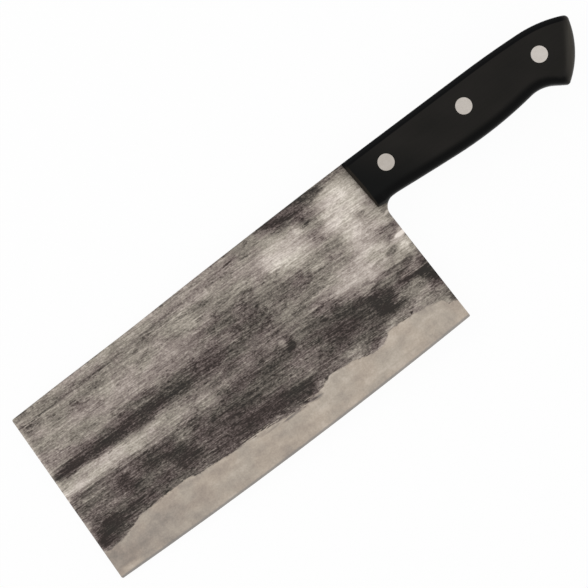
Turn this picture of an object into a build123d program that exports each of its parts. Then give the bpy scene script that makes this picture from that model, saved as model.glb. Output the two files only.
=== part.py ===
from build123d import *
import math
import os

# A Chinese cleaver: a broad forged blade in one piece with a full tang, two handle scales,
# and three cutler's rivets, each a stud pressed into a socket.
# It lies on its side. +X runs from the nose of the blade to the butt of the handle, +Y from the
# cutting edge to the spine, +Z out of the left side of the knife. Lengths are millimetres.
# Every piece is drawn about the heel, which is the rear end of the cutting edge, with the middle
# of the steel at z = 0, and is moved at the end so that the origin is the middle of the base.

# Blade, seen from the side
blade_length = 200.0          # along the chord of the edge, nose to heel
spine_height = 91.1           # spine above that chord, at the handle
nose_drop = 2.9               # how far the spine has come down at the nose
nose_lean = 3.1               # how far the top of the nose lies behind its foot
nose_sink = 0.35              # how far the foot of the nose lies below the heel
edge_belly = 1.9              # how far the edge bows below its chord
heel_lean = 1.3               # how far the heel line leans forward on its way up to the neck
neck_radius = 6.0             # hollow between the heel line and the handle
nose_corner_radius = 0.8      # the two corners of the nose
heel_corner_radius = 0.6      # the corner of edge and heel

# Blade, seen in section
tang_thickness = 3.2          # the stock, left full in the tang and at the spine by the handle
nose_thickness = 2.9          # spine at the nose
bevel_thickness = 2.2         # steel at the top of the ground bevel, at the heel
bevel_width = 18.5            # the bright ground band, up from the edge at the heel
behind_edge_thickness = 0.5   # steel at the top of the sharpening bevel
sharpening_width = 1.1        # the narrow bevel that the stone leaves
edge_land = 0.12              # flat of the edge itself
spine_ease = 0.45             # softening of the long corners of the spine

# Handle
handle_length = 117.9         # from the heel to the far end of the butt
handle_depth = 33.7           # from the top line down to the beak of the butt
scale_thickness = 8.9         # one scale
scale_reach = 5.9             # how far the scales reach forward of the heel, at the top line
scale_lean = 1.9              # how far the foot of their front lies behind its top
top_round = 2.2               # rounding of a scale along the top line
palm_round = 5.2              # rounding along the belly and the butt
front_bevel = 1.6             # bevel across the front of a scale
beak_radius = 1.5             # the tip of the beak, seen from the side

# Rivets
rivet_head = 8.0              # diameter of a head
rivet_head_depth = 2.8        # length of a head, sunk flush into its scale
rivet_head_bevel = 0.2        # broken corner at the rim of a head
socket_diameter = 5.0         # hollow shank of the socket
stud_diameter = 3.2           # solid shank of the stud, pressed into the socket
shank_play = 0.9              # free end left past either shank
hole_play = 0.3               # the holes are this much wider than the socket

overrun = 5.0                 # how far a cutting tool runs past the steel

# Points of the handle, as shares of its length from the heel and of its depth from the top line.
# Those of the belly and the crown are the joints between arcs that run smoothly into each other
neck_depth_share = 0.765
belly_shares = [(0.076, 0.766), (0.339, 0.848), (0.703, 0.813), (0.801, 0.893)]
beak_shares = (0.848, 1.0)
butt_shares = (0.947, 0.661)
crown_corner_shares = (1.002, 0.221)
crown_joint_shares = (0.801, 0.029)
top_line_share = 0.539
foot_share = 0.59             # the foot of a scale, along the hollow of the neck
rivet_shares = {"front": (0.0955, 0.344), "middle": (0.4675, 0.369), "rear": (0.8225, 0.4255)}

# The spine comes down to the nose in a slow curve: shares of the way there and of the drop
spine_shares = [(0.28, 0.18), (0.50, 0.45), (0.66, 0.72), (0.86, 0.84)]
nose_direction = (-1, -0.014)  # of the spine where it ends


def handle_point(shares):
    along, down = shares
    return (along * handle_length, spine_height - down * handle_depth)


def smooth_arcs(start, direction, ends):
    """A chain of arcs, each tangent to the one before it."""
    arcs = []
    for end in ends:
        arcs.append(TangentArc(start, end, tangent=direction))
        start, direction = end, arcs[-1] % 1
    return arcs


# Places that several pieces share
scale_top = (-scale_reach, spine_height)
neck_height = spine_height - neck_depth_share * handle_depth
scale_toe = (scale_lean - scale_reach, neck_height)
beak = handle_point(beak_shares)
crown_corner = handle_point(crown_corner_shares)
crown_end = (top_line_share * handle_length, spine_height)
nose_foot = (-blade_length, -nose_sink)
nose_top = (nose_lean - blade_length, spine_height - nose_drop)

# The outline of the steel, from the heel up and round, with sharp corners
heel_line = Line((0, 0), (-heel_lean, neck_height - neck_radius))
neck = JernArc(heel_line @ 1, heel_line % 1, neck_radius, -90)
scale_foot = ((neck @ foot_share).X, (neck @ foot_share).Y)
belly = smooth_arcs(neck @ 1, neck % 1, [handle_point(shares) for shares in belly_shares] + [beak])
butt = ThreePointArc(beak, handle_point(butt_shares), crown_corner)
crown = smooth_arcs(crown_end, (1, 0), [handle_point(crown_joint_shares), crown_corner])
top_line = Line(crown_end, scale_top)
spine_points = [
    (along * nose_top[0], spine_height - down * nose_drop) for along, down in spine_shares
]
spine = Spline(scale_top, *spine_points, nose_top, tangents=[(-1, 0), nose_direction])
nose = Line(nose_top, nose_foot)
edge = ThreePointArc(nose_foot, (-blade_length / 2, -nose_sink / 2 - edge_belly), (0, 0))
outline_curves = [heel_line, neck, *belly, butt, *crown, top_line, spine, nose, edge]

# The front and the foot of a scale
scale_front_line = Line(scale_top, scale_toe)
scale_foot_line = Line(scale_toe, scale_foot)


def nearest(items, point):
    return items.sort_by_distance(Vector(*point))[0]


def steel_outline():
    """The whole steel seen from the side, blade and tang, with its corners rounded."""
    outline = make_face(outline_curves)
    for corner, radius in (
        (nose_foot, nose_corner_radius),
        (nose_top, nose_corner_radius),
        ((0, 0), heel_corner_radius),
        (beak, beak_radius),
        (crown_corner, top_round),
    ):
        outline = fillet(nearest(outline.vertices(), corner), radius)
    return outline


def handle_zone():
    """The part of the side view that the scales cover."""
    top = spine_height + overrun
    end = handle_length + overrun
    bottom = spine_height - handle_depth - overrun
    points = [scale_top, scale_toe, scale_foot, (scale_foot[0], bottom)]
    points += [(end, bottom), (end, top), (-scale_reach, top)]
    return make_face(Polyline(points, close=True))


def flank_height(x, y):
    """Half the thickness of the forged flanks, which fall to the nose and to the edge."""
    fall_to_nose = (tang_thickness - nose_thickness) / -nose_top[0]
    fall_to_edge = (tang_thickness - bevel_thickness) / (spine_height - bevel_width)
    return (tang_thickness + x * fall_to_nose - (spine_height - y) * fall_to_edge) / 2


def flank_waste():
    """What is taken off the left flank, forward of the scales."""
    left = -blade_length - overrun
    top = spine_height + overrun
    bottom = -nose_sink - edge_belly - overrun
    points = [scale_top, scale_toe, scale_foot, (scale_foot[0], bottom)]
    points += [(left, bottom), (left, top), (-scale_reach, top)]
    corners = [(x, y, flank_height(x, y)) for x, y in points]
    return extrude(make_face(Polyline(corners, close=True)), tang_thickness, dir=(0, 0, 1))


def bevel_waste():
    """What is ground off the left side of the edge, turned about the centre of its arc."""
    centre = edge.arc_center
    axis = Axis(centre, (0, 0, 1))
    rise = (bevel_thickness - behind_edge_thickness) / 2 / (bevel_width - sharpening_width)
    top = sharpening_width + (tang_thickness - behind_edge_thickness) / rise
    top_height = behind_edge_thickness / 2 + rise * (top - sharpening_width)
    section = [
        (-overrun, edge_land / 2),
        (0, edge_land / 2),
        (sharpening_width, behind_edge_thickness / 2),
        (top, top_height),
        (-overrun, top_height),
    ]
    points = [(centre.X, centre.Y - edge.radius + up, out) for up, out in section]
    half_turn = math.degrees(math.asin((blade_length / 2 + 2 * overrun) / edge.radius))
    profile = make_face(Polyline(points, close=True)).rotate(axis, -half_turn)
    return revolve(profile, axis, 2 * half_turn)


def rivet_holes(diameter, bottom, top):
    """Upright cylinders on the three rivet centres, between two heights."""
    places = [handle_point(shares) for shares in rivet_shares.values()]
    hole = Cylinder(diameter / 2, top - bottom, align=(Align.CENTER, Align.CENTER, Align.MIN))
    return [Pos(x, y, bottom) * hole for x, y in places]


def make_blade():
    """Blade and tang: the spine is eased first, as far as the scales, then the rest is ground."""
    blank = extrude(Pos(0, 0, -tang_thickness / 2) * make_face(outline_curves), tang_thickness)
    tang = blank & extrude(Pos(0, 0, -tang_thickness) * handle_zone(), 2 * tang_thickness)
    blade = blank - tang
    flank = flank_waste()
    blade -= flank
    blade -= flank.mirror(Plane.XY)
    middle = spine @ 0.5
    half = flank_height(middle.X, middle.Y)
    spine_corners = [nearest(blade.edges(), (middle.X, middle.Y, side)) for side in (half, -half)]
    steel = chamfer(spine_corners, spine_ease) + tang
    steel &= extrude(Pos(0, 0, -tang_thickness) * steel_outline(), 2 * tang_thickness)
    bevel = bevel_waste()
    steel -= bevel
    steel -= bevel.mirror(Plane.XY)
    return steel - rivet_holes(socket_diameter + hole_play, -tang_thickness, tang_thickness)


def front_bevel_plane(outer):
    """The slanting plane that bevels the front of a scale, which is cut away on its upper side."""
    front = scale_front_line @ 0.5
    along = scale_front_line % 0.5
    return Plane((front.X, front.Y, outer - front_bevel), x_dir=along, z_dir=(along.Y, -along.X, 1))


def make_left_scale():
    """A scale, from the flat of the tang outwards, with the seats of its rivets."""
    inner = tang_thickness / 2
    outer = inner + scale_thickness
    plan = make_face(outline_curves) & handle_zone()
    scale = extrude(Pos(0, 0, inner) * plan, scale_thickness)
    # Each rounding runs on through the curves that meet it smoothly, and the upright corner
    # between butt and crown is rounded with the crown
    for curves, radius in (((scale_foot_line, belly[0], butt), palm_round), ((top_line,), top_round)):
        middles = [curve @ 0.5 for curve in curves]
        scale = fillet([nearest(scale.edges(), (spot.X, spot.Y, outer)) for spot in middles], radius)
    beak_corner = (*beak, inner + (scale_thickness - palm_round) / 2)
    scale = fillet(nearest(scale.edges(), beak_corner), beak_radius)
    scale = split(scale, front_bevel_plane(outer), keep=Keep.BOTTOM)
    seat = outer - rivet_head_depth
    scale -= rivet_holes(socket_diameter + hole_play, 0, seat)
    return scale - rivet_holes(rivet_head, seat, outer + overrun)


def rivet_head_solid():
    """A head with its flat outer face up and its underside at the shoulder."""
    seat = tang_thickness / 2 + scale_thickness - rivet_head_depth
    head = Cylinder(rivet_head / 2, rivet_head_depth, align=(Align.CENTER, Align.CENTER, Align.MIN))
    head = chamfer(head.edges().sort_by(Axis.Z)[-1], rivet_head_bevel)
    return Pos(0, 0, seat) * head


def shank_solid(diameter):
    """A shank that reaches from under a head on the left side almost to the opposite head."""
    seat = tang_thickness / 2 + scale_thickness - rivet_head_depth
    length = 2 * seat - shank_play
    return Pos(0, 0, seat) * Cylinder(diameter / 2, length, align=(Align.CENTER, Align.CENTER, Align.MAX))


def make_stud():
    return rivet_head_solid() + shank_solid(stud_diameter)


def make_socket():
    """The hollow half of a rivet, with its head on the right side of the knife."""
    socket = rivet_head_solid() + (shank_solid(socket_diameter) - shank_solid(stud_diameter))
    return socket.mirror(Plane.XY)


left_scale = make_left_scale()
pieces = {
    "blade": make_blade(),
    "left_scale": left_scale,
    "right_scale": left_scale.mirror(Plane.XY),
}
for name, shares in rivet_shares.items():
    place = Pos(*handle_point(shares))
    pieces[f"rivet_stud_{name}"] = place * make_stud()
    pieces[f"rivet_socket_{name}"] = place * make_socket()

box = Compound(list(pieces.values())).bounding_box()
to_base = Pos(-box.center().X, -box.center().Y, -box.min.Z)
os.makedirs("parts", exist_ok=True)
for name, piece in pieces.items():
    export_step(to_base * piece, f"parts/{name}.step")

print("overall", box.size)
print("heel corner of the edge at", to_base.position)
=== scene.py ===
import bpy
import bmesh
import math
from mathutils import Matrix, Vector, kdtree


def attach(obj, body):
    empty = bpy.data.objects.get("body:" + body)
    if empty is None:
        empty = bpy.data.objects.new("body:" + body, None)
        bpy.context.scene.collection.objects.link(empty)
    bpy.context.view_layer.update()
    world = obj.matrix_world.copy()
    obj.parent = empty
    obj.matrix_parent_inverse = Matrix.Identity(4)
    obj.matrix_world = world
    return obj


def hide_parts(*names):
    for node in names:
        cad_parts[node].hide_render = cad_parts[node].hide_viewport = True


# A forged cleaver that lies on its right side. Lengths in the tables are millimetres, and places
# on the knife are measured from the heel corner of the edge: x towards the butt, y towards the
# spine, z out of the middle of the steel.

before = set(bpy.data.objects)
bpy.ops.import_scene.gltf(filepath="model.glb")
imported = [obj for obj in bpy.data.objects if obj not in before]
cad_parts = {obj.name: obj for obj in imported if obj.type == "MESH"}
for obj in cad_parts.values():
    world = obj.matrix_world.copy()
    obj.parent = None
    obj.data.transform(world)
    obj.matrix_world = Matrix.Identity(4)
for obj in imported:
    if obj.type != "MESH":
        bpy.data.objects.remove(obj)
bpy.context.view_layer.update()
mm = 0.001
heelCorner = Vector((41.0992, -44.5105, 10.5))  # of the knife, in the frame


def inFrame(x, y, z):  # a place on the knife, in the frame's metres
    return (heelCorner + Vector((x, y, z))) * mm


def tint(red, green, blue):  # a colour as a picture shows it, 0 to 255
    def straight(level):
        level /= 255
        return level / 12.92 if level <= 0.04045 else ((level + 0.055) / 1.055) ** 2.4
    return (straight(red), straight(green), straight(blue), 1.0)


class Wire:  # a socket of a node tree that can stand in an expression
    def __init__(self, tree, socket=None):
        self.tree, self.socket = tree, socket

    def node(self, kind, settings=(), values=(), output=0):
        made = self.tree.nodes.new(kind)
        for name, setting in dict(settings).items():
            if name == "stops":
                fillRamp(made.color_ramp, setting)
            elif name == "curve":
                fillCurve(made.mapping, setting)
            else:
                setattr(made, name, setting)
        for name, value in dict(values).items():
            if isinstance(value, Wire):
                self.tree.links.new(value.socket, made.inputs[name])
            else:
                made.inputs[name].default_value = value
        return Wire(self.tree, made.outputs[output] if made.outputs else None)

    def maths(self, operation, *values):
        return self.node("ShaderNodeMath", {"operation": operation}, dict(enumerate(values)))

    def vectors(self, operation, *values):
        return self.node("ShaderNodeVectorMath", {"operation": operation}, dict(enumerate(values)))

    def __add__(self, other):
        return self.maths("ADD", self, other)

    def __sub__(self, other):
        return self.maths("SUBTRACT", self, other)

    def __rsub__(self, other):
        return self.maths("SUBTRACT", other, self)

    def __mul__(self, other):
        return self.maths("MULTIPLY", self, other)

    def __truediv__(self, other):
        return self.maths("DIVIDE", self, other)

    def __rtruediv__(self, other):
        return self.maths("DIVIDE", other, self)

    __radd__ = __add__
    __rmul__ = __mul__


def fillRamp(ramp, stops):
    while len(ramp.elements) > 1:
        ramp.elements.remove(ramp.elements[-1])
    ramp.elements[0].position, ramp.elements[0].color = stops[0]
    for position, colour in stops[1:]:
        ramp.elements.new(position).color = colour


def fillCurve(mapping, points):
    curve = mapping.curves[0]
    curve.points[0].location, curve.points[1].location = points[0], points[-1]
    for point in points[1:-1]:
        curve.points.new(*point)
    mapping.update()


def newMaterial(name):
    material = bpy.data.materials.new(name)
    material.use_nodes = True
    material.node_tree.nodes.clear()
    return material, Wire(material.node_tree)


def onKnife(start):  # the place on the knife in millimetres, as a vector
    place = start.node("ShaderNodeTexCoord", output="Object")
    scaled = {"Vector": place, "Location": -heelCorner, "Scale": (1000, 1000, 1000)}
    return start.node("ShaderNodeMapping", {"vector_type": "POINT"}, scaled)


def split(vector):
    return [vector.node("ShaderNodeSeparateXYZ", (), {0: vector}, axis) for axis in range(3)]


def join(x, y, z):
    return x.node("ShaderNodeCombineXYZ", (), {0: x, 1: y, 2: z})


def fade(value, low, high, lowest=0.0, highest=1.0):  # a soft step from lowest to highest
    # it can't overshoot, and a clamp on every one would make the steel too large to render
    return value.node("ShaderNodeMapRange", {"interpolation_type": "SMOOTHSTEP", "clamp": False},
                      {"Value": value, "From Min": low, "From Max": high,
                       "To Min": lowest, "To Max": highest})


def blendColour(factor, first, second):
    return factor.node("ShaderNodeMix", {"data_type": "RGBA"},
                       {0: factor, 6: first, 7: second}, 2)


def noise(place, length, width, detail, rough, turn, shift, output=0):
    # length and width of its marks in millimetres, turn in degrees
    laid = place.node("ShaderNodeMapping", {"vector_type": "POINT"}, {
        "Vector": place, "Rotation": (0, 0, math.radians(turn)),
        "Location": (shift, shift * 0.7, shift * 1.3)})
    laid = place.vectors("MULTIPLY", laid, (1 / length, 1 / width, 1 / max(length, width)))
    return place.node("ShaderNodeTexNoise", {"noise_dimensions": "3D"}, {
        "Vector": laid, "Scale": 1.0, "Detail": detail, "Roughness": rough}, output)


studio = {
    "aim": (-58.68, 56.62, 1.6),     # the point of the knife under the lens
    "turn": -36.967,                # how far the picture is turned, in degrees
    "span": 269.6,                 # width of the picture at the blade
    "lens": 500, "sensor": 36,     # long, so that the picture is almost parallel
    "ambient": 0.55,               # light of the room on everything
    "nearEdge": -2.7,              # where the handle touches the table
    "noseHeight": 9.05,            # of the nose above the plane that the handle lies on
    "bladeLength": 200,
    "tableHalf": 700, "tableGrey": 0.93,
    "tableGap": 0.02,              # left under the knife
    "tableWhite": 0.96,            # how much of the table's white is plain white
}
lampTable = [  # name, place in metres from the knife, size in metres, power
    ("lamp_key", (-0.55, 0.60, 0.85), 0.8, 3.0),
    ("lamp_fill", (0.75, -0.45, 0.80), 0.8, 2.2),
    ("lamp_back", (0.20, 0.95, 0.60), 0.7, 1.6),
]


def makeCamera():
    data = bpy.data.cameras.new("camera")
    data.lens, data.sensor_width = studio["lens"], studio["sensor"]
    camera = bpy.data.objects.new("camera", data)
    x, y, z = inFrame(*studio["aim"])
    distance = studio["span"] * mm * studio["lens"] / studio["sensor"]
    camera.location = (x, y, z + distance)
    camera.rotation_euler = (0, 0, math.radians(studio["turn"]))
    bpy.context.scene.collection.objects.link(camera)
    bpy.context.scene.camera = camera


def seenPlainly(start):  # 1 for rays that should meet a plain white room
    rays = [start.node("ShaderNodeLightPath", output=name)
            for name in ("Is Camera Ray", "Is Glossy Ray", "Is Transmission Ray")]
    return rays[0].maths("MAXIMUM", rays[0].maths("MAXIMUM", rays[0], rays[1]), rays[2])


def makeRoom():
    world = bpy.data.worlds.new("room")
    world.use_nodes = True
    world.node_tree.nodes.clear()
    start = Wire(world.node_tree)
    seen = seenPlainly(start)
    strength = seen * (1 - studio["ambient"]) + studio["ambient"]
    light = start.node("ShaderNodeBackground", (), {"Color": (1, 1, 1, 1), "Strength": strength})
    start.node("ShaderNodeOutputWorld", (), {"Surface": light})
    bpy.context.scene.world = world
    bpy.context.scene.view_settings.view_transform = "Standard"


def makeLamps():
    for name, place, size, power in lampTable:
        data = bpy.data.lights.new(name, "AREA")
        data.shape, data.size, data.energy = "SQUARE", size, power
        lamp = bpy.data.objects.new(name, data)
        lamp.location = place
        lamp.rotation_euler = (-Vector(place)).to_track_quat("-Z", "Y").to_euler()
        bpy.context.scene.collection.objects.link(lamp)


def makeTable():
    # the knife lies on the handle and the tip of the nose, so the table is a little askew
    material, start = newMaterial("table_white")
    grey = studio["tableGrey"]
    diffuse = start.node("ShaderNodeBsdfDiffuse", (), {"Color": (grey, grey, grey, 1)})
    white = start.node("ShaderNodeEmission", (), {"Color": (1, 1, 1, 1), "Strength": 1.0})
    above = start.node("ShaderNodeMixShader", (), {
        0: seenPlainly(start) * studio["tableWhite"], 1: diffuse, 2: white})
    below = start.node("ShaderNodeBsdfTransparent")
    under = start.node("ShaderNodeNewGeometry", output="Backfacing")
    start.node("ShaderNodeOutputMaterial", (), {
        "Surface": start.node("ShaderNodeMixShader", (), {0: under, 1: above, 2: below})})
    half = studio["tableHalf"]
    slope = studio["noseHeight"] / (studio["bladeLength"] + studio["nearEdge"])
    corners = []
    for x, y in ((-half, -half), (half, -half), (half, half), (-half, half)):
        z = -(x - heelCorner.x - studio["nearEdge"]) * slope - studio["tableGap"]
        corners.append((x * mm, y * mm, z * mm))
    mesh = bpy.data.meshes.new("table")
    mesh.from_pydata(corners, [], [(0, 1, 2, 3)])
    mesh.materials.append(material)
    table = bpy.data.objects.new("table", mesh)
    bpy.context.scene.collection.objects.link(table)


makeCamera()
makeRoom()
makeLamps()
makeTable()
print("studio ready")


def finishPiece(piece, material, slot, *nodes):
    piece.data.materials.clear()
    piece.data.materials.append(material)
    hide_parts(*nodes)
    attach(piece, "root")


mergeWithin = 1e-6  # metres
flatAngle = 0.05  # degrees, below which two faces count as one


def mergedCopy(node):  # one closed mesh from a node's loose triangles
    shape = bmesh.new()
    shape.from_mesh(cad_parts[node].data)
    bmesh.ops.remove_doubles(shape, verts=shape.verts, dist=mergeWithin)
    bmesh.ops.dissolve_limit(shape, angle_limit=math.radians(flatAngle),
                             verts=shape.verts, edges=shape.edges)
    return shape


def easeCorners(shape, edges, size):  # a small round on crisp corners, in millimetres
    bmesh.ops.bevel(shape, geom=edges, offset=size * mm, segments=2, profile=0.5,
                    affect="EDGES", clamp_overlap=True)


def plainMesh(piece):  # what a piece's modifiers make of it, as its own mesh
    seen = piece.evaluated_get(bpy.context.evaluated_depsgraph_get())
    mesh = bpy.data.meshes.new_from_object(seen)
    piece.modifiers.clear()
    piece.data = mesh


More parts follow.
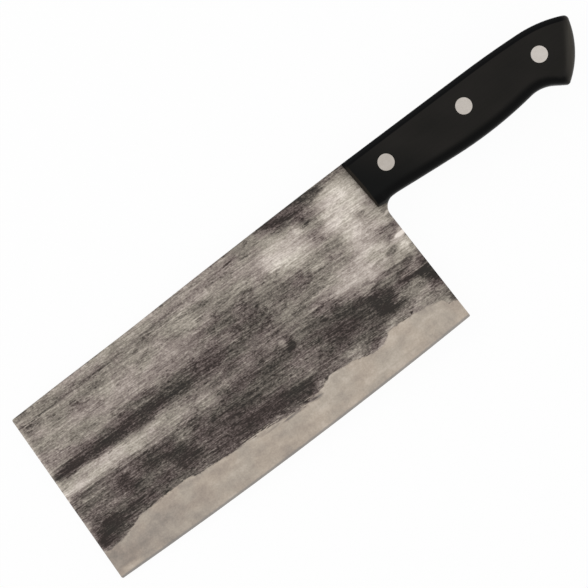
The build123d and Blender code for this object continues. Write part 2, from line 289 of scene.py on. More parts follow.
blade = {
    "length": 200,
    "rimEase": 0.14,         # rounding of the corners round the steel
    "rimAngle": 0.5, "creaseAngle": 0.3,  # of a corner, and of a crease in it, in radians
    "sharpAngle": 16,        # in degrees, above which the shading breaks
    "frontLimit": 0.5,       # the tang behind this x keeps its corners
    "cell": 1.6,             # size of the mesh's cells
    "low": (-199, -1.5), "high": (-1, 90),  # what the cells cover
    "forgeDepth": 0.05,      # depth of the hammer's hollows
    "forgeSpread": 22,       # and how wide they are
    "forgeDetail": 1.5, "forgeSides": 40,  # the larger, the more the two flanks differ
    "calmStart": 0.6, "calmRim": 5,  # where from a rim they begin, and over what they grow
    "coverFoot": 56, "coverLine": -7, "coverFade": 6,  # the steel near the scales stays flat
    "bellySag": 1.9,         # how far the edge bows down
    "noseSink": 0.35,        # how far its nose end lies below the heel
    "tone": 0.515,           # of the flank between the strokes, 0 black to 1 white
    "roughBare": 0.42, "roughScale": 0.55, "roughGrain": 0.1,
    "metalScale": 0.5,       # how much less metallic the scale is than bare steel
    "relief": 0.35, "reliefDepth": 0.00004,  # strength, and depth in metres
    "otherFlank": 90,        # how far off the right flank's pattern lies
    # noises: length, width, detail, roughness, tilt in degrees, shift
    "noises": {
        "lines": (26, 1.0, 3, 0.6, 1.5, 31), "drag": (20, 3.0, 3, 0.6, 1.5, 21),
        "mottle": (16, 9, 5, 0.6, 1.5, 3), "fine": (9, 0.7, 3, 0.6, 3.5, 41),
        "fleck": (2.2, 1.5, 3, 0.6, 1.5, 51), "grit": (1.5, 0.5, 2, 0.6, 5.5, 61),
        "speck": (0.9, 0.75, 2, 0.6, 0, 66), "flakes": (5, 2.2, 5, 0.6, 1.5, 71),
        "hue": (16, 9, 3, 0.5, 1.5, 81), "fray": (7, 0.6, 4, 0.65, 1.5, 101),
        "wander": (4, 4, 5, 0.7, 0, 7), "cloud": (11, 7, 2, 0.45, 0, 121),
        "bars": (1.6, 9, 2, 0.5, 0, 131), "haze": (2.4, 2.0, 3, 0.6, 0, 141),
        "groundHue": (12, 9, 3, 0.5, 0, 151),
    },
    "drift": (22, 8, 3, 0.6, 1.5, 11), "driftReach": (18, 4, 0),  # these two push places about
    "ripple": (2, 2, 2, 0.5, 0, 17), "rippleReach": (1.6, 1.6, 0),
    "frayReach": (6, 4), "raggedReach": (5, 1.5),
    "plainStroke": (0, 0.8),  # tilt and softness
    # how much each noise shifts the tone: of all scale, of the scale by its tone, and of the band
    "broadWeights": {"mottle": 0.30, "drag": 0.26},
    "fineWeights": {"lines": 0.28, "fine": 0.48, "fleck": 0.20, "grit": 0.42, "speck": 0.36},
    "bandWeights": {"cloud": 0.24, "bars": 0.04, "haze": 0.06, "speck": 0.11},
    "reliefWeights": {"fine": 0.6, "grit": 0.4, "drag": 0.6},
    # what the fine weights and the flakes count in the dark and in the pale
    "livelyTones": (0.25, 0.65), "lively": (1.28, 0.71),
    "flakeTones": (0.35, 0.6), "flakeDepth": (0.13, 0.05),
    "flakeEdge": (0.56, 0.60), "flakeRelief": -0.3,
    "hueEdge": (0.36, 0.64),  # where a noise turns from the warmer to the cooler colours
    # the rims: how far in from them and over which x a shade fades out, and how strong it is
    "noseRim": (0.2, 2.6), "noseZone": (-194, -198), "nosePaling": 0.14, "noseRagged": 0.8,
    "spineRim": (0.1, 0.7), "spineZone": (-190, -196), "spineDark": 0.05,
    "heelRim": (0.6, 3.6), "heelZone": (-8, -3), "heelDark": 0.05,
    "bandTone": (0.575, 0.635), "bandToneZone": (-200, -110),  # at the nose, and further on
    "bandEdge": 0.25,        # half the width over which its upper line fades
    "lip": 0.03,             # of a paler line under that one, its strength
    "lipRise": (0.1, 0.5), "lipFall": (1.8, 0.9), "lipTorn": (0.4, 0.6),
    "frayNose": (3.0, 8.0), "frayNoseZone": (-135, -112),  # how far the line is torn, and where
    "frayHeel": (1.0, 0.4), "frayHeelZone": (-85, -68),    # that changes
    "wanderReach": 2.6,      # and how far it wanders
    "whetted": (0.7, 1.5), "whettedShare": 0.75, "whettedRagged": 0.6,
    "whettedColour": tint(132, 129, 127),
    "darkTone": (0.25, 0.6),  # tones between which scale gives way to bare steel
    "tangStart": (-3.6, -3.2), "tangHeel": (64.5, 65.5),  # x, and x + y
    "tangDark": tint(118, 112, 106), "tangPale": tint(166, 159, 151),
    # soft strokes of tone: x, y, half length, half width, strength, and then, unless it is
    # level and plain, tilt in degrees and softness
    "strokes": [
        # towards the spine
        (-198, 69, 4, 5, 0.04), (-194, 80, 9, 5, -0.08), (-190, 62, 7, 2.5, -0.07),
        (-190, 76, 9, 6, 0.06, 0, 0.9), (-190, 80, 8, 3, -0.1), (-186, 82, 7, 2.5, -0.06),
        (-180, 60, 8, 3, -0.1), (-175, 72, 9, 7, 0.07), (-168, 87, 12, 3, 0.05),
        (-167, 87, 9, 2.5, 0.04), (-164, 62, 10, 4, 0.07), (-156, 78, 8, 4, -0.07),
        (-152, 72, 8, 6, 0.06, 30, 0.9), (-150, 59, 32, 5, -0.14), (-150, 86, 8, 2.5, 0.04),
        (-148, 87, 8, 2.5, 0.05), (-145, 67, 42, 4, 0.06), (-142, 60.5, 9, 3, -0.1),
        (-137, 60, 7, 3, -0.05), (-130, 71, 9, 4, 0.045), (-128, 88.5, 30, 3, 0.06),
        (-126, 84, 8, 2.5, 0.06), (-125, 81, 27, 4, -0.06), (-120, 68, 10, 3, 0.06),
        (-112, 77, 14, 7, 0.05, 0, 0.9), (-108, 64, 6, 3, -0.06), (-108, 80, 10, 4, -0.05),
        (-102, 74, 6, 3, -0.06), (-100, 58, 9, 4, 0.07), (-100, 64, 14, 10, -0.13, 0, 0.9),
        (-96, 58, 8, 3, 0.08), (-94, 62, 6, 3, 0.07), (-92, 81, 7, 4, 0.11),
        (-90, 88, 8, 2.5, 0.04), (-86, 66, 16, 13, -0.13, 0, 0.9), (-84, 58, 8, 4, -0.07),
        (-84, 72, 7, 3, 0.08), (-84, 84, 7, 2.5, -0.08), (-79, 58.5, 9, 3.5, -0.08),
        (-78, 88, 8, 2.5, 0.05), (-76, 67, 9, 9, -0.07), (-72, 64, 7, 4, -0.07),
        (-72, 69, 5, 3, -0.06), (-68, 88, 9, 3, 0.06), (-64, 75, 4, 3, 0.06),
        (-63.5, 72, 4, 4, 0.08), (-60, 72, 7, 3.5, 0.12), (-58, 58, 6, 3, 0.04),
        (-58, 60, 17, 5, -0.14), (-56, 89, 6, 2.5, 0.06), (-54, 65.5, 4, 3, -0.08),
        (-50, 76, 17, 14, 0.18, 0, 0.6), (-50, 82, 5, 3, -0.06), (-47, 82, 7, 4, -0.1),
        (-46, 62, 4, 4, -0.07), (-46, 85, 12, 4, -0.14), (-42, 84, 8, 4, -0.1),
        (-41, 84, 5, 2.5, 0.08), (-38, 89, 24, 5, -0.25, -3, 0.5), (-37, 82, 7, 6, -0.15),
        (-32, 83, 6, 4, -0.07), (-26, 82, 5, 2.5, 0.05), (-21, 88.5, 5, 3, -0.12),
        (-20, 89, 7, 2.5, -0.05), (-18, 90, 13, 3.5, -0.16), (-17, 68, 16, 28, 0.21, 0, 0.6),
        (-16, 63, 5, 3, -0.07), (-12, 62, 6, 11, -0.13), (-12, 82, 6, 5, 0.09),
        (-7, 74, 5, 4, 0.09), (-7, 86, 6, 3, 0.08), (-7, 90, 5, 3, -0.12), (-5, 77, 5, 7, 0.09),
        (-5, 82, 5, 5, 0.1), (-4, 60, 4, 3, 0.1), (-1, 61.9, 3, 2.5, 0.23),
        # the dark streak, the bright one under it and the middle of the flank
        (-198.2, 45.7, 5, 3, -0.26), (-194, 50, 6, 2, -0.05), (-192, 41.5, 17, 4, -0.1, 0, 0.7),
        (-189, 53.6, 10, 3.6, -0.2, 0, 0.9), (-180, 55, 40, 4.5, -0.24),
        (-178, 47, 42, 5.2, 0.15, -1, 0.7), (-176, 40, 9, 2.5, -0.11), (-162, 42, 7, 2.5, 0.06),
        (-158, 53.4, 40, 4.8, -0.2), (-157, 42.5, 10, 3, 0.085), (-156, 48.5, 8, 2.5, -0.1),
        (-152, 51.5, 9, 2.5, -0.08), (-145, 46, 22, 4.5, 0.06, -1, 0.8),
        (-144, 49.5, 8, 2.5, -0.07), (-143, 51, 14, 4, -0.1), (-140, 53.5, 14, 4.5, -0.1),
        (-136, 46, 7, 2.5, -0.06), (-132, 54, 16, 3.5, -0.09), (-130, 51.5, 17, 4, -0.13),
        (-123, 39, 15, 5, 0.08), (-121, 46, 11, 4, 0.09), (-120, 42, 9, 4, 0.08),
        (-118, 56, 34, 7, -0.2, 0, 0.7), (-117, 40, 8, 3, 0.08), (-114, 52, 7, 2.5, -0.06),
        (-108, 47.5, 7, 3, 0.07), (-101, 48, 7, 3, -0.09), (-100, 47, 42, 9, -0.13, 0, 0.6),
        (-98, 56, 6, 2.5, 0.06), (-90, 57, 24, 8, -0.15), (-87, 54, 7, 3, -0.04),
        (-83, 46, 7, 3, 0.05), (-82, 39, 6, 3, -0.05), (-63, 54, 7, 2.5, -0.06),
        (-61, 44, 6, 2.5, -0.05), (-60, 42, 24, 5, -0.15), (-60, 48, 8, 3, -0.08),
        (-60, 56, 36, 4.5, -0.1, 0, 0.7), (-45, 46, 6, 2.5, -0.07), (-44, 40.5, 7, 3, -0.1),
        (-44, 41, 9, 4, -0.08), (-44, 50, 30, 5, -0.08), (-42, 54.5, 6, 2.5, -0.08),
        (-28, 47, 27, 9, 0.14, -3, 0.7), (-26, 42, 6, 2.5, 0.06), (-22, 56.5, 17, 4, -0.09),
        (-20, 48.5, 7, 3, -0.1), (-17, 41, 6, 2.5, 0.08), (-16.5, 57, 5, 5, -0.05),
        (-15, 48.5, 8, 3, -0.08), (-12, 40.5, 6, 2, 0.08), (-10, 40, 14, 4, -0.04),
        # the pale strokes at the heel edge between y 41 and 46 are a painted highlight on its
        # chamfer
        (-10, 53, 10, 3.5, -0.14, 0, 0.7), (-5, 41, 8, 3, 0.1), (-4, 48.5, 6, 3, 0.07),
        (-3.5, 44.5, 5, 2.4, 0.14), (-3, 49.6, 6, 1.1, 0.25, -3, 0.8), (-3, 50.5, 6, 4, 0.14),
        (-1, 45, 4, 3.5, 0.12), (-1, 46, 4, 2.5, 0.05), (-1, 55.5, 3, 3, 0.13),
        # the dark belt over the ground band
        (-199, 37, 6, 5, -0.18), (-198.5, 38, 7, 4, -0.14), (-198, 29, 4, 2.5, 0.06),
        (-198, 29.5, 5, 3, 0.08), (-198, 36.5, 4, 2.5, -0.06), (-198, 37, 5, 3, -0.07),
        (-198, 38.3, 5, 3, -0.11), (-197, 17.5, 8, 4, -0.2), (-193, 15.5, 7, 3, -0.1),
        (-192, 28, 6, 3, -0.06), (-191, 22, 9, 6, -0.09), (-188, 20.5, 18, 8, -0.17, 0, 0.6),
        (-187, 31, 11, 5, 0.08), (-180, 18.4, 6, 2, 0.13), (-180, 27, 6, 3, 0.07),
        (-176, 38, 8, 3, -0.07), (-172, 24, 7, 3, -0.1), (-172, 34, 5.5, 7, -0.16, 0, 0.6),
        (-166, 29, 5, 3, 0.06), (-158, 34, 9, 4, -0.1), (-156, 38, 22, 3.5, -0.08),
        (-154, 20, 6, 1.8, 0.05), (-152, 31, 10, 5, -0.07), (-151, 34, 12, 4, -0.06),
        (-143, 27, 8, 8, -0.15, -20, 0.6), (-140, 35, 7, 4, 0.1), (-136, 38, 6, 3, 0.07),
        (-127, 28, 8, 4, -0.05), (-124, 37, 8, 3, 0.05), (-122, 29, 9, 5, -0.06),
        (-110, 27, 125, 17, -0.2, 0, 0.35), (-110, 30, 12, 5, -0.09),
        (-104, 21, 30, 7, -0.1, 0, 0.7), (-100, 16, 5, 1.8, 0.06), (-100, 16, 5, 2, 0.09),
        (-100, 38, 30, 4, -0.06), (-98, 15, 5, 2, 0.08), (-91, 28, 6, 3, 0.1),
        (-91, 30.5, 6, 3, 0.07), (-87, 26, 7, 4, 0.08), (-84, 18, 15, 5, -0.12, 0, 0.7),
        (-76, 16.3, 5, 2, 0.07), (-76, 26, 14, 8, 0.11), (-73.5, 16.5, 5, 2, 0.16),
        (-72, 35, 9, 4, -0.08), (-66, 18.5, 5, 2.5, 0.06), (-57, 18.5, 12, 4, 0.12),
        (-54, 20, 5, 2.5, 0.08), (-51, 18, 7, 4, 0.12), (-48, 16, 6, 2.5, 0.08),
        (-48, 32, 21, 8, -0.11, 0, 0.7), (-46, 17, 5, 2, 0.05), (-44, 15.5, 8, 4, -0.16, 0, 0.5),
        (-44, 38, 7, 5, -0.08), (-42, 38, 6, 3, -0.05), (-38, 16, 5, 1.5, -0.06),
        (-35, 26, 7, 4, -0.05), (-31, 19, 6, 3.5, 0.11), (-29, 18.5, 5, 2, 0.06),
        (-28.5, 29.5, 9, 8, -0.2, 0, 0.6), (-28, 19, 8, 2.5, 0.05), (-26, 25, 8, 3.5, -0.11),
        (-25, 24, 8, 4, -0.1), (-24, 25, 5, 4, -0.07), (-23, 25, 5, 3, -0.07),
        (-18, 28, 6, 3, 0.07), (-16, 19.5, 6, 3, 0.07), (-14, 17, 8, 2.5, 0.06),
        (-14, 36, 5, 2.5, -0.06), (-14, 36, 6, 2.5, -0.08), (-13, 23, 8, 7, 0.09),
        (-12, 35.5, 8, 3, -0.12), (-10, 30, 5, 2.5, -0.05), (-10, 30, 6, 2.5, -0.07),
        (-8, 31, 13, 2.5, -0.24, -3, 0.6), (-7, 24, 5, 3, -0.06), (-6, 24, 6, 4, -0.09),
        (-2, 13, 4, 4, -0.12), (-2, 26, 7, 9, -0.34, 0, 0.7), (-1, 12, 3, 3, -0.06),
        (-1, 38, 4, 2.5, -0.06),
    ],
    # small crisp marks, in the same terms
    "marks": [
        # painted shade: dark lines under the spine, where the relief steps, and dark lines over
        # the dent
        (-164, 82.6, 36, 1, -0.14, 0.4, 0.6), (-108, 84.2, 30, 0.8, -0.12, 1.6, 0.6),
        (-82, 85.6, 16, 0.7, -0.1, 3, 0.6), (-76.5, 62, 2.6, 1.5, -0.12, 30, 0.6),
        (-73.2, 59.5, 1.6, 2.4, -0.1, 0, 0.6), (-75.5, 52, 1.2, 9, -0.09, -4, 0.8),
        # pits and flecks
        (-192.8, 10.6, 0.7, 0.6, -0.35, 0, 0.4), (-36, 36.5, 2.6, 1.3, -0.14, 0, 0.6),
        (-54.5, 38.6, 2.8, 1.2, -0.2, -12, 0.6), (-51.5, 44.6, 2.2, 1, -0.13, 30, 0.6),
        (-60.3, 68.5, 0.9, 1.4, -0.2, 0, 0.6), (-51.5, 62.5, 3.2, 3.6, -0.12),
        (-48, 59.5, 2.4, 1.6, -0.12, 20, 0.6), (-170, 49.6, 1.4, 0.6, -0.2, 0, 0.5),
        (-20.8, 17.4, 1, 0.8, -0.3, 40, 0.4),
        # crusted scale by the heel
        (-11, 45.4, 4.6, 1.9, -0.16, 6, 0.5), (-20, 44.6, 5, 1.3, -0.12, 8, 0.5),
        (-8, 37.4, 4.2, 1.5, -0.14, -4, 0.5), (-16.5, 38.6, 4.4, 1.4, -0.12, 6, 0.5),
        (-2.6, 34.6, 3.4, 2.6, -0.18, 0, 0.5), (-24, 37.4, 3, 1.2, -0.12, 0, 0.5),
        (-3.2, 49.5, 3.6, 0.9, 0.26, -3, 0.5), (-12.5, 67.5, 3.8, 2, -0.1, 0, 0.6),
        (-9.5, 56.5, 5.5, 2.2, -0.1, 0, 0.6),
    ],
    # painted highlight and shade of a small hammer dent: a pale spot in a dark ring
    "dentLightAndShade": [
        (-75.6, 40.8, 5.6, 4.8, -0.11, 0, 0.4), (-73.6, 38.3, 3.2, 2.1, -0.2, 15, 0.5),
        (-76.6, 42, 3.1, 2.9, 0.26, 0, 0.7),
    ],
    # soft strokes on the ground band
    "bandStrokes": [
        (-166, 15.5, 18, 3, 0.04, 0, 0.9), (-176, 8.5, 34, 5, -0.045, 0, 0.9),
        (-86, 9, 12, 3.5, -0.03, 0, 0.9), (-16, 9, 14, 6, 0.03, 0, 0.9),
        (-193, 1, 14, 3, 0.05, 0, 0.9), (-40, 3.2, 32, 0.8, -0.02, 1, 0.9),
        (-93, 12.4, 6, 0.7, -0.1, -2, 0.4), (-81.5, 12.8, 3.4, 0.7, -0.12, -8, 0.4),
        (-104, 13.2, 5, 0.6, -0.07, 0, 0.5), (-79, 12.2, 5, 1.2, -0.1, -4, 0.6),
        (-193, 1.6, 8, 2.5, 0.05, 0, 0.9), (-109, 14, 5, 1.2, -0.07, 0, 0.7),
        (-126, 9, 8, 2.5, -0.04, 0, 0.9), (-88, 12.3, 4, 1, -0.05, 0, 0.7),
        (-74, 10, 7, 2, -0.035, 0, 0.9), (-148, 10.5, 10, 3, -0.035, 0, 0.9),
        (-95, 12.2, 5, 1, -0.04), (-24, 8.5, 11, 3, 0.035, 0, 0.9),
        (-114, 6, 9, 3, 0.035, 0, 0.9), (-78, 13, 4, 1.2, -0.07, -4, 0.6),
        (-191, 2, 8, 2.5, 0.045, 0, 0.9), (-84, 12, 4, 1.5, -0.04),
        (-62, 6, 8, 3, 0.035, 0, 0.9), (-50, 2, 8, 2.5, -0.035, 0, 0.9),
        (-102, 5, 8, 3, 0.035, 0, 0.9), (-184, 6, 8, 3, -0.035, 0, 0.9),
        (-162, 4, 8, 2.5, -0.03, 0, 0.9), (-18, 11, 6, 2, 0.03, 0, 0.9),
    ],
    "bandTop": 20,           # the band's upper line lies below this: x, and y
    "bandLine": [
        (-200, 13.6), (-190, 13.8), (-183, 15.8), (-173, 18), (-162, 18.5), (-149, 18.4),
        (-141, 16.9), (-130, 16.1), (-120, 15.6), (-105, 15.2), (-96, 13.6), (-89, 13),
        (-81, 13.6), (-71, 15.5), (-66, 16.7), (-56, 15.8), (-51, 14.3), (-44, 13.2),
        (-37, 14.5), (-33, 16.8), (-25, 16.6), (-15, 15.6), (-7, 13.8), (-4.5, 10.6), (0, 9.2),
    ],
    # colours from dark to pale, warmer and cooler, of the scale and of the band
    "scaleWarm": [
        (0.1, tint(37, 28, 24)), (0.25, tint(69, 58, 55)), (0.4, tint(109, 98, 94)),
        (0.55, tint(146, 136, 129)), (0.7, tint(184, 174, 166)), (0.85, tint(220, 211, 203)),
    ],
    "scaleCool": [
        (0.1, tint(33, 29, 24)), (0.25, tint(64, 58, 52)), (0.4, tint(105, 98, 91)),
        (0.55, tint(143, 136, 126)), (0.7, tint(182, 174, 163)), (0.85, tint(218, 211, 200)),
    ],
    "groundWarm": [
        (0.44, tint(92, 84, 80)), (0.5, tint(128, 120, 113)), (0.58, tint(152, 141, 131)),
        (0.65, tint(172, 160, 147)), (0.72, tint(190, 179, 166)),
    ],
    "groundCool": [
        (0.44, tint(90, 86, 82)), (0.5, tint(127, 121, 115)), (0.58, tint(151, 142, 133)),
        (0.65, tint(171, 161, 149)), (0.72, tint(190, 180, 169)),
    ],
}


def calmness(point, distance):  # 0 where the forge marks may not reach, 1 where they are full
    x, y, z = Vector(point) / mm - heelCorner
    away = min(max((distance - blade["calmStart"]) / blade["calmRim"], 0), 1)
    covered = 1
    if y > blade["coverFoot"]:
        covered = min(max((blade["coverLine"] - x) / blade["coverFade"], 0), 1)
    return away * away * (3 - 2 * away) * covered


def forgeTree():
    tree = bpy.data.node_groups.new("forge_marks", "GeometryNodeTree")
    for name, kind in (("Steel", "NodeSocketGeometry"), ("Depth", "NodeSocketFloat"),
                       ("Spread", "NodeSocketFloat"), ("Finish", "NodeSocketMaterial")):
        tree.interface.new_socket(name, in_out="INPUT", socket_type=kind)
    tree.interface.new_socket("Steel", in_out="OUTPUT", socket_type="NodeSocketGeometry")
    start = Wire(tree)
    depth = start.node("NodeGroupInput", output="Depth")
    spread = start.node("NodeGroupInput", output="Spread")
    calm = start.node("GeometryNodeInputNamedAttribute", {"data_type": "FLOAT"}, {"Name": "calm"})
    x, y, z = split(start.node("GeometryNodeInputPosition"))
    place = join(x, y, z * blade["forgeSides"])
    hollows = start.node("ShaderNodeTexNoise", {"noise_dimensions": "3D"}, {
        "Vector": place, "Scale": 1 / spread, "Detail": blade["forgeDetail"]})
    hollows = fade(hollows, 0.25, 0.75)
    normal = start.node("GeometryNodeInputNormal")
    sink = start.node("ShaderNodeVectorMath", {"operation": "SCALE"},
                      {0: normal, "Scale": hollows * calm * depth * -1})
    moved = start.node("GeometryNodeSetPosition", (), {
        "Geometry": start.node("NodeGroupInput", output="Steel"), "Offset": sink})
    real = start.node("GeometryNodeRealizeInstances", (), {0: moved})
    done = start.node("GeometryNodeSetMaterial", (), {
        "Geometry": real, "Material": start.node("NodeGroupInput", output="Finish")})
    start.node("NodeGroupOutput", (), {"Steel": done})
    return tree


def addNodes(piece, tree, values):  # a Geometry Nodes modifier with its inputs set by name
    modifier = piece.modifiers.new(tree.name, "NODES")
    modifier.node_group = tree
    for item in tree.interface.items_tree:
        if item.item_type == "SOCKET" and item.name in values:
            modifier[item.identifier] = values[item.name]


def spaced(low, high):
    count = round((high - low) / blade["cell"])
    return [low + (high - low) * i / count for i in range(count + 1)]


def rimPoints(shape):  # points a millimetre apart along the corners, for finding the nearest
    marks = []
    for edge in shape.edges:
        if edge.calc_face_angle(0) > blade["creaseAngle"]:
            first, second = (v.co / mm - heelCorner for v in edge.verts)
            steps = max(1, math.ceil((second - first).length))
            marks += [first.lerp(second, i / steps) for i in range(steps + 1)]
    rimTree = kdtree.KDTree(len(marks))
    for i, mark in enumerate(marks):
        rimTree.insert((mark.x, mark.y, 0), i)
    rimTree.balance()
    return rimTree


def makeBlade(material):
    shape = mergedCopy("blade")
    middle = heelCorner.z * mm
    rims = [e for e in shape.edges if e.calc_face_angle(0) > blade["rimAngle"]
            and all(v.co.x < inFrame(blade["frontLimit"], 0, 0).x for v in e.verts)
            and not all(abs(v.co.z - middle) < 0.1 * mm for v in e.verts)]
    easeCorners(shape, rims, blade["rimEase"])
    rimTree = rimPoints(shape)
    (left, foot), (right, top) = blade["low"], blade["high"]
    cuts = [((x, 0, 0), (1, 0, 0)) for x in spaced(left, right)]
    cuts += [((0, y, 0), (0, 1, 0)) for y in spaced(foot, top)]
    for place, normal in cuts:
        bmesh.ops.bisect_plane(shape, geom=shape.verts[:] + shape.edges[:] + shape.faces[:],
                               dist=1e-7, plane_co=inFrame(*place), plane_no=normal)
    mesh = bpy.data.meshes.new("blade_forged")
    shape.to_mesh(mesh)
    shape.free()
    away = []
    for vertex in mesh.vertices:
        x, y, z = vertex.co / mm - heelCorner
        away.append(rimTree.find((x, y, 0))[2])
    rim = mesh.attributes.new("rim", "FLOAT", "POINT")
    rim.data.foreach_set("value", away)
    calm = mesh.attributes.new("calm", "FLOAT", "POINT")
    calm.data.foreach_set("value", [calmness(v.co, d) for v, d in zip(mesh.vertices, away)])
    piece = bpy.data.objects.new("blade_forged", mesh)
    bpy.context.scene.collection.objects.link(piece)
    addNodes(piece, forgeTree(), {"Depth": blade["forgeDepth"] * mm,
                                  "Spread": blade["forgeSpread"] * mm, "Finish": material})
    plainMesh(piece)
    piece.data.shade_smooth()
    piece.data.set_sharp_from_angle(angle=math.radians(blade["sharpAngle"]))
    finishPiece(piece, material, "blade_steel", "blade")
    print("blade made,", len(piece.data.vertices), "vertices")


def brushed(tone, field, table):  # the tone with the strokes of a table laid on it
    for x, y, longHalf, shortHalf, strength, *rest in table:
        tilt, soft = rest or blade["plainStroke"]
        local = tone.node("ShaderNodeMapping", {"vector_type": "TEXTURE"}, {
            "Vector": field, "Location": (x, y, 0), "Rotation": (0, 0, math.radians(tilt)),
            "Scale": (longHalf, shortHalf, 1e4)})
        stroke = tone.node("ShaderNodeTexGradient", {"gradient_type": "SPHERICAL"},
                           {"Vector": local}, 1)
        tone = tone + fade(stroke, 0, soft, 0, strength)
    return tone


def weighed(noises, weights):  # noises about their middle, each by its weight, added up
    parts = [(noises[name] - 0.5) * weight for name, weight in weights.items()]
    return sum(parts[1:], parts[0])


def pushed(place, size, reach):  # the place, pushed about by a noise of its own
    drift = noise(place, *size, output=1)
    return place.vectors("MULTIPLY_ADD", place.vectors("SUBTRACT", drift, (0.5, 0.5, 0.5)),
                         reach, place)


def shaken(place, alongNoise, acrossNoise, reach):  # the place, torn by one noise each way
    return place.vectors("ADD", place, join((alongNoise - 0.5) * reach[0],
                                            (acrossNoise - 0.5) * reach[1], 0))


def coloured(tone, which, warm, cool):  # a tone's colour from two ramps
    warm, cool = (tone.node("ShaderNodeValToRGB", {"stops": stops}, {0: tone})
                  for stops in (warm, cool))
    return blendColour(fade(which, *blade["hueEdge"]), warm, cool)


def scaleTone(place, ragged, along, noises):  # of the flank, 0 black to 1 white
    lines = noises["lines"]
    frayed = shaken(pushed(place, blade["drift"], blade["driftReach"]), lines, lines,
                    blade["frayReach"])
    rippled = pushed(place, blade["ripple"], blade["rippleReach"])
    tone = place.node("ShaderNodeValue")
    tone.socket.default_value = blade["tone"]
    tone = brushed(tone, frayed, blade["strokes"])
    tone = brushed(tone, ragged, blade["marks"])
    # painted highlight and shade of a small dent
    tone = brushed(tone, rippled, blade["dentLightAndShade"])
    lively = fade(tone, *blade["livelyTones"], *blade["lively"])
    tone = tone + weighed(noises, blade["broadWeights"])
    tone = tone + lively * weighed(noises, blade["fineWeights"])
    # flakes of scale with crisp edges, where the steel isn't bare
    flakeDepth = fade(tone, *blade["flakeTones"], *blade["flakeDepth"])
    tone = tone - noises["flakes"] * flakeDepth
    # the rims: paler at the nose, darker along the spine and the heel
    rim = place.node("ShaderNodeAttribute", {"attribute_name": "rim"}, output="Fac")
    torn = rim + (noises["fleck"] - 0.5) * blade["noseRagged"]
    nose = fade(torn, *blade["noseRim"], 1, 0) * fade(along, *blade["noseZone"])
    spine = fade(rim, *blade["spineRim"], 1, 0) * fade(along, *blade["spineZone"], 1, 0)
    heel = fade(rim, *blade["heelRim"], 1, 0) * fade(along, *blade["heelZone"])
    return (tone + nose * blade["nosePaling"] - spine * blade["spineDark"]
            - heel * blade["heelDark"])


def underBandLine(along, y, noises):  # how far a place lies below the band's torn upper line
    top, length = blade["bandTop"], blade["length"]
    line = along.node("ShaderNodeFloatCurve", {
        "curve": [(px / length + 1, py / top) for px, py in blade["bandLine"]]}, {
        "Value": along / length + 1}) * top
    torn = (fade(along, *blade["frayNoseZone"], *blade["frayNose"])
            * fade(along, *blade["frayHeelZone"], *blade["frayHeel"]))
    line = line + (noises["fray"] - 0.5) * torn
    return line + (noises["wander"] - 0.5) * blade["wanderReach"] - y


def bladeSteel():
    material, start = newMaterial("steel_forged")
    x, y, z = split(onKnife(start))
    back = fade(z, -0.02, 0.02, 1.0, 0.0)  # 1 on the right flank, whose marks are others
    along = x + back * (-blade["length"] - x * 2)
    place = join(along, y, back * blade["otherFlank"])
    noises = {name: noise(place, *size) for name, size in blade["noises"].items()}
    noises["flakes"] = fade(noises["flakes"], *blade["flakeEdge"])
    fine, fleck = noises["fine"], noises["fleck"]
    ragged = shaken(place, noises["lines"], noises["drag"], blade["raggedReach"])
    tone = scaleTone(place, ragged, along, noises)
    flank = coloured(tone, noises["hue"], blade["scaleWarm"], blade["scaleCool"])
    # the ground band along the edge
    under = underBandLine(along, y, noises)
    inBand = fade(under, -blade["bandEdge"], blade["bandEdge"])
    lip = (fade(under, *blade["lipRise"]) * fade(under, *blade["lipFall"])
           * fade(fleck, *blade["lipTorn"]))
    shade = (fade(along, *blade["bandToneZone"], *blade["bandTone"])
             + weighed(noises, blade["bandWeights"]) + lip * blade["lip"])
    shade = brushed(shade, ragged, blade["bandStrokes"])
    ground = coloured(shade, noises["groundHue"], blade["groundWarm"], blade["groundCool"])
    # the whetted edge, which bows
    half = blade["length"] / 2
    bow = (along + half) / half
    height = (y + (1 - bow * bow) * blade["bellySag"]
              + along * (-blade["noseSink"] / blade["length"]))
    whetted = fade(height + (fleck - 0.5) * blade["whettedRagged"], *blade["whetted"],
                   blade["whettedShare"], 0.0)
    ground = blendColour(whetted, ground, blade["whettedColour"])
    colour = blendColour(inBand, flank, ground)
    # the rim of the tang is ground plain, flush with the scales
    tang = fade(x, *blade["tangStart"]) * fade(x + y, *blade["tangHeel"])
    colour = blendColour(tang, colour, blendColour(fine, blade["tangDark"], blade["tangPale"]))
    dark = fade(tone, *blade["darkTone"], 1.0, 0.0) * (1 - inBand) * (1 - tang)
    rough = dark * (blade["roughScale"] - blade["roughBare"]) + blade["roughBare"]
    relief = weighed(noises, blade["reliefWeights"]) + noises["flakes"] * blade["flakeRelief"]
    bump = start.node("ShaderNodeBump", (), {"Height": relief, "Strength": blade["relief"],
                                             "Distance": blade["reliefDepth"]})
    shader = start.node("ShaderNodeBsdfPrincipled", (), {
        "Base Color": colour, "Metallic": 1 - dark * blade["metalScale"],
        "Roughness": rough + (fine - 0.5) * blade["roughGrain"], "Normal": bump})
    start.node("ShaderNodeOutputMaterial", (), {"Surface": shader})
    return material


makeBlade(bladeSteel())


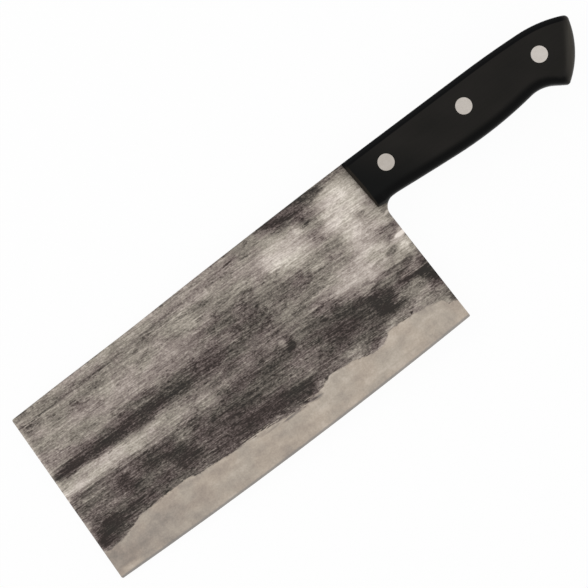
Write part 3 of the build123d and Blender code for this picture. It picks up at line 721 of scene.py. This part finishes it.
handle = {
    "face": 10.5,            # of the flat face above the middle of the steel
    "topBand": 2.75,         # width of the dark band of painted shade along the top line
    "palmBand": (3.0, 6.0),  # where the dark band of painted shade along the palm rim begins and ends to fade
    "palmHighlightWidth": 0.9,          # width of the painted highlight on its outermost rim
    "buttFoot": (100, 57.4), "buttTilt": 55.4,  # the chord of the butt, in degrees
    "buttReflectionSpan": (-3.6, 1.2),  # from how far inside it to how far outside the painted reflection grows
    "crispAngle": 0.6, "crispLimit": 5,  # in radians; corners behind this x keep their shape
    "seamAway": 1.7,         # and so do those as near as this to the middle of the steel
    "rimEase": 0.12,         # softening of the crisp corners
    "sharpAngle": 28,        # in degrees, above which the shading breaks
    "joinWithin": 3e-6, "lostWithin": 1e-6,  # metres, of points and slivers that a corner left
    "rough": 0.40, "roughCloud": 0.1,
    "gleam": 0.05,
    "relief": 0.3, "reliefDepth": 0.00003,  # strength, and depth in metres
    # noises: length, width, detail, roughness, tilt in degrees, shift
    "grain": (30, 0.7, 5, 0.6, 0, 5), "cloud": (26, 15, 3, 0.5, 20, 15),
    "reflectionStreaks": (16, 0.9, 3, 0.6, -55.4, 25),
    "cornerShadeZone": (66, 100), "cornerShadeShare": 0.9,  # how the painted shade of the front corner fades
    # the bevel at the front: over which x, fall of the surface and y its wear and painted
    # highlight begin
    "bevelStart": (-3.0, -3.4), "bevelFall": (0.0, 0.1), "bevelTop": (90, 86),
    "faceDark": tint(30, 29, 27), "facePale": tint(37, 35, 33),
    # painted shade on the front corner and in the two dark bands, a painted highlight on the palm
    # rim, a painted reflection on the butt, and wear with a painted highlight on the front bevel
    "cornerShade": tint(15, 16, 16), "topBandShade": tint(9, 9, 10), "palmBandShade": tint(9, 9, 9),
    "palmHighlight": tint(48, 48, 47), "buttReflectionColour": tint(68, 65, 60), "bevelWornAndLit": tint(42, 38, 33),
    # the top and the palm rim of the scales: x, and y
    "topRim": [
        (-6, 91.1), (60, 91.1), (75, 90.96), (88, 90.49), (96, 89.99), (104, 88.75),
        (112, 86.35), (120, 83),
    ],
    "palmRim": [
        (-6, 66.3), (-1, 65.4), (8, 65.36), (25, 63.8), (45, 62.18), (55, 61.88), (65, 62.08),
        (75, 62.79), (82, 63.59), (88, 63.6), (92, 62.36), (96, 59.96), (100, 57.2), (120, 55),
    ],
    "rimLow": (-6, 55), "rimSpan": (126, 40),  # the part of the knife that these two run over
}


def rimAt(x, points):  # the height of a rim over x
    (left, foot), (length, rise) = handle["rimLow"], handle["rimSpan"]
    laid = [((px - left) / length, (py - foot) / rise) for px, py in points]
    height = x.node("ShaderNodeFloatCurve", {"curve": laid}, {"Value": (x - left) / length})
    return height * rise + foot


def handleWood():
    material, start = newMaterial("wood_black")
    place = onKnife(start)
    x, y, z = split(place)
    fall = start.maths("ABSOLUTE", z) * -1 + handle["face"]  # how far the surface has come down
    grain, cloud, streaks = (noise(place, *handle[name])
                             for name in ("grain", "cloud", "reflectionStreaks"))
    colour = start.node("ShaderNodeValToRGB", {"stops": [
        (0.3, handle["faceDark"]), (0.7, handle["facePale"])]}, {0: grain * 0.3 + cloud * 0.7})
    # painted shade: the corner by the blade is cooler and darker
    cool = fade(x + y * 0.9, *handle["cornerShadeZone"], handle["cornerShadeShare"], 0.0)
    colour = blendColour(cool, colour, handle["cornerShade"])
    below = rimAt(x, handle["topRim"]) - y
    above = y - rimAt(x, handle["palmRim"])
    inner, outer = handle["palmBand"]
    # painted shade: dark bands where the top line and the palm rim round over
    colour = blendColour(fade(below, handle["topBand"] + 0.15, handle["topBand"] - 0.15), colour,
                         handle["topBandShade"])
    colour = blendColour(fade(above, outer, inner), colour, handle["palmBandShade"])
    # painted highlight on the outermost palm rim, where it reflects the bright table
    colour = blendColour(fade(above, handle["palmHighlightWidth"], 0.0), colour, handle["palmHighlight"])
    # painted reflection of a lamp on the butt's round-over: a little browner, in streaks along its
    # edge
    tilt = math.radians(handle["buttTilt"])
    footX, footY = handle["buttFoot"]
    beyond = (x - footX) * math.sin(tilt) - (y - footY) * math.cos(tilt)
    buttReflection = fade(beyond, *handle["buttReflectionSpan"])
    buttReflection = buttReflection * (buttReflection + 0.1) * fade(streaks, 0.3, 0.7, 0.7, 1.0)
    colour = blendColour(buttReflection, colour, handle["buttReflectionColour"])
    # the bevel at the front is browner too: partly wear, partly a painted highlight where it
    # catches the light
    front = (fade(x, *handle["bevelStart"]) * fade(fall, *handle["bevelFall"])
             * fade(y, *handle["bevelTop"]))
    colour = blendColour(front, colour, handle["bevelWornAndLit"])
    bump = start.node("ShaderNodeBump", (), {
        "Height": grain + streaks * buttReflection, "Strength": handle["relief"],
        "Distance": handle["reliefDepth"]})
    shader = start.node("ShaderNodeBsdfPrincipled", (), {
        "Base Color": colour, "Roughness": (cloud - 0.5) * handle["roughCloud"] + handle["rough"],
        "Specular IOR Level": handle["gleam"], "Normal": bump})
    start.node("ShaderNodeOutputMaterial", (), {"Surface": shader})
    return material


def makeScale(node, name, material):
    shape = mergedCopy(node)
    limit, middle = inFrame(handle["crispLimit"], 0, 0).x, heelCorner.z * mm
    crisp = [e for e in shape.edges if e.calc_face_angle(0) > handle["crispAngle"]
             and all(v.co.x < limit for v in e.verts)
             and all(abs(v.co.z - middle) > handle["seamAway"] * mm for v in e.verts)]
    easeCorners(shape, crisp, handle["rimEase"])
    bmesh.ops.remove_doubles(shape, verts=shape.verts, dist=handle["joinWithin"])
    bmesh.ops.dissolve_degenerate(shape, dist=handle["lostWithin"], edges=shape.edges)
    mesh = bpy.data.meshes.new(name)
    shape.to_mesh(mesh)
    shape.free()
    mesh.shade_smooth()
    mesh.set_sharp_from_angle(angle=math.radians(handle["sharpAngle"]))
    piece = bpy.data.objects.new(name, mesh)
    bpy.context.scene.collection.objects.link(piece)
    even = piece.modifiers.new("even_shading", "WEIGHTED_NORMAL")
    even.keep_sharp = True
    plainMesh(piece)
    finishPiece(piece, material, "handle_wood", node)


wood = handleWood()
makeScale("left_scale", "scale_left", wood)
makeScale("right_scale", "scale_right", wood)
print("handle made")


rivet = {
    "headRadius": 4.0, "headDepth": 2.8, "rimBevel": 0.08,
    "crown": 0.06,           # how far the ground head is domed
    "studRadius": 1.6, "socketRadius": 2.5,
    "shankPlay": 0.9,        # free end left past either shank
    "segments": 72,
    "sharpAngle": 30,        # in degrees, above which the shading breaks
    "grain": (6, 0.25, 3, 0.5, 12, 5), "cloud": (3, 3, 3, 0.5, 0, 15),  # as the handle's
    "paleZone": (8, 100), "paleShare": 0.4,  # the rear one is the palest
    "dark": tint(168, 161, 153), "pale": tint(194, 188, 182),
    "rough": 0.45, "roughGrain": 0.1,
    "relief": 0.2, "reliefDepth": 0.00002,  # strength, and depth in metres
    "places": ((11.26, 79.51), (55.12, 78.66), (96.97, 76.76)),
}


def pick(start, index, kind, options):  # the option that an index chooses
    made = start.tree.nodes.new("GeometryNodeIndexSwitch")
    made.data_type = kind
    while len(made.index_switch_items) < len(options):
        made.index_switch_items.new()
    start.tree.links.new(index.socket, made.inputs[0])
    for slot, option in enumerate(options, 1):
        if isinstance(option, Wire):
            start.tree.links.new(option.socket, made.inputs[slot])
        else:
            made.inputs[slot].default_value = option
    return Wire(start.tree, made.outputs[0])


def rivetTree():  # turned profiles, set on three places
    tree = bpy.data.node_groups.new("rivet_row", "GeometryNodeTree")
    sizes = ("Head radius", "Head depth", "Rim bevel", "Crown", "Shank radius", "Shank length",
             "Bore radius")
    for name in sizes:
        tree.interface.new_socket(name, in_out="INPUT", socket_type="NodeSocketFloat")
    for name, kind in (("Rows", "NodeSocketInt"), ("Segments", "NodeSocketInt"),
                       ("Front", "NodeSocketVector"), ("Middle", "NodeSocketVector"),
                       ("Rear", "NodeSocketVector"), ("Turn", "NodeSocketVector"),
                       ("Finish", "NodeSocketMaterial")):
        tree.interface.new_socket(name, in_out="INPUT", socket_type=kind)
    tree.interface.new_socket("Rivets", in_out="OUTPUT", socket_type="NodeSocketGeometry")
    start = Wire(tree)

    def given(name):
        return start.node("NodeGroupInput", output=name)
    head, depth, bevel, crown, shank, length, bore = [given(name) for name in sizes]
    radii = [0.0, head * 0.5, head - bevel, head, head, shank, shank, bore, bore, 0.0]
    heights = [depth, depth - crown * 0.25, depth - crown, depth - crown - bevel, 0.0, 0.0,
               length * -1, length * -1, 0.0, 0.0]
    grid = start.node("GeometryNodeMeshGrid", (), {
        "Size X": 1.0, "Size Y": 1.0, "Vertices X": given("Segments") + 1,
        "Vertices Y": given("Rows")})
    index = start.node("GeometryNodeInputIndex")
    row = index.maths("MODULO", index, given("Rows"))
    column = index.maths("FLOOR", index / given("Rows"))
    angle = column * math.tau / given("Segments")
    radius = pick(start, row, "FLOAT", radii)
    height = pick(start, row, "FLOAT", heights)
    turned = start.node("GeometryNodeSetPosition", (), {
        "Geometry": grid, "Position": join(radius * start.maths("COSINE", angle),
                                           radius * start.maths("SINE", angle), height)})
    closed = start.node("GeometryNodeMergeByDistance", (), {
        "Geometry": turned, "Distance": mergeWithin})
    closed = start.node("GeometryNodeFlipFaces", (), {"Mesh": closed})  # normals outward
    spots = start.node("GeometryNodeMeshLine", (), {"Count": 3})
    spots = start.node("GeometryNodeSetPosition", (), {
        "Geometry": spots, "Position": pick(start, index, "VECTOR", [
            given("Front"), given("Middle"), given("Rear")])})
    placed = start.node("GeometryNodeInstanceOnPoints", (), {
        "Points": spots, "Instance": closed,
        "Rotation": start.node("FunctionNodeEulerToRotation", (), {0: given("Turn")})})
    real = start.node("GeometryNodeRealizeInstances", (), {0: placed})
    done = start.node("GeometryNodeSetMaterial", (), {
        "Geometry": real, "Material": given("Finish")})
    start.node("NodeGroupOutput", (), {"Rivets": done})
    return tree


def rivetSteel():
    material, start = newMaterial("rivet_satin")
    place = onKnife(start)
    x = split(place)[0]
    grain, cloud = noise(place, *rivet["grain"]), noise(place, *rivet["cloud"])
    level = grain * 0.3 + cloud * 0.4 + fade(x, *rivet["paleZone"], 0.0, rivet["paleShare"])
    colour = start.node("ShaderNodeValToRGB", {"stops": [
        (0.2, rivet["dark"]), (0.9, rivet["pale"])]}, {0: level})
    bump = start.node("ShaderNodeBump", (), {"Height": grain, "Strength": rivet["relief"],
                                             "Distance": rivet["reliefDepth"]})
    rough = (grain - 0.5) * rivet["roughGrain"] + rivet["rough"]
    shader = start.node("ShaderNodeBsdfPrincipled", (), {
        "Base Color": colour, "Metallic": 1.0, "Roughness": rough, "Normal": bump})
    start.node("ShaderNodeOutputMaterial", (), {"Surface": shader})
    return material


def makeRivets(name, tree, side, shank, bore, rows, material):
    seat = handle["face"] - rivet["headDepth"]
    values = {"Head radius": rivet["headRadius"], "Head depth": rivet["headDepth"],
              "Rim bevel": rivet["rimBevel"], "Crown": rivet["crown"], "Shank radius": shank,
              "Shank length": 2 * seat - rivet["shankPlay"], "Bore radius": bore}
    values = {key: value * mm for key, value in values.items()}
    for place, (x, y) in zip(("Front", "Middle", "Rear"), rivet["places"]):
        values[place] = inFrame(x, y, seat * side)
    values.update({"Rows": rows, "Segments": rivet["segments"], "Finish": material,
                   "Turn": Vector((0 if side > 0 else math.pi, 0, 0))})
    mesh = bpy.data.meshes.new(name)
    piece = bpy.data.objects.new(name, mesh)
    bpy.context.scene.collection.objects.link(piece)
    addNodes(piece, tree, values)
    plainMesh(piece)
    piece.data.shade_smooth()
    piece.data.set_sharp_from_angle(angle=math.radians(rivet["sharpAngle"]))
    kind = name.split("_")[1].rstrip("s")
    finishPiece(piece, material, "rivet_steel",
                *[f"rivet_{kind}_{place}" for place in ("front", "middle", "rear")])


satin = rivetSteel()
rivetRow = rivetTree()
makeRivets("rivet_studs", rivetRow, 1, rivet["studRadius"], 0.0, 8, satin)
makeRivets("rivet_sockets", rivetRow, -1, rivet["socketRadius"], rivet["studRadius"], 10, satin)
print("rivets made")
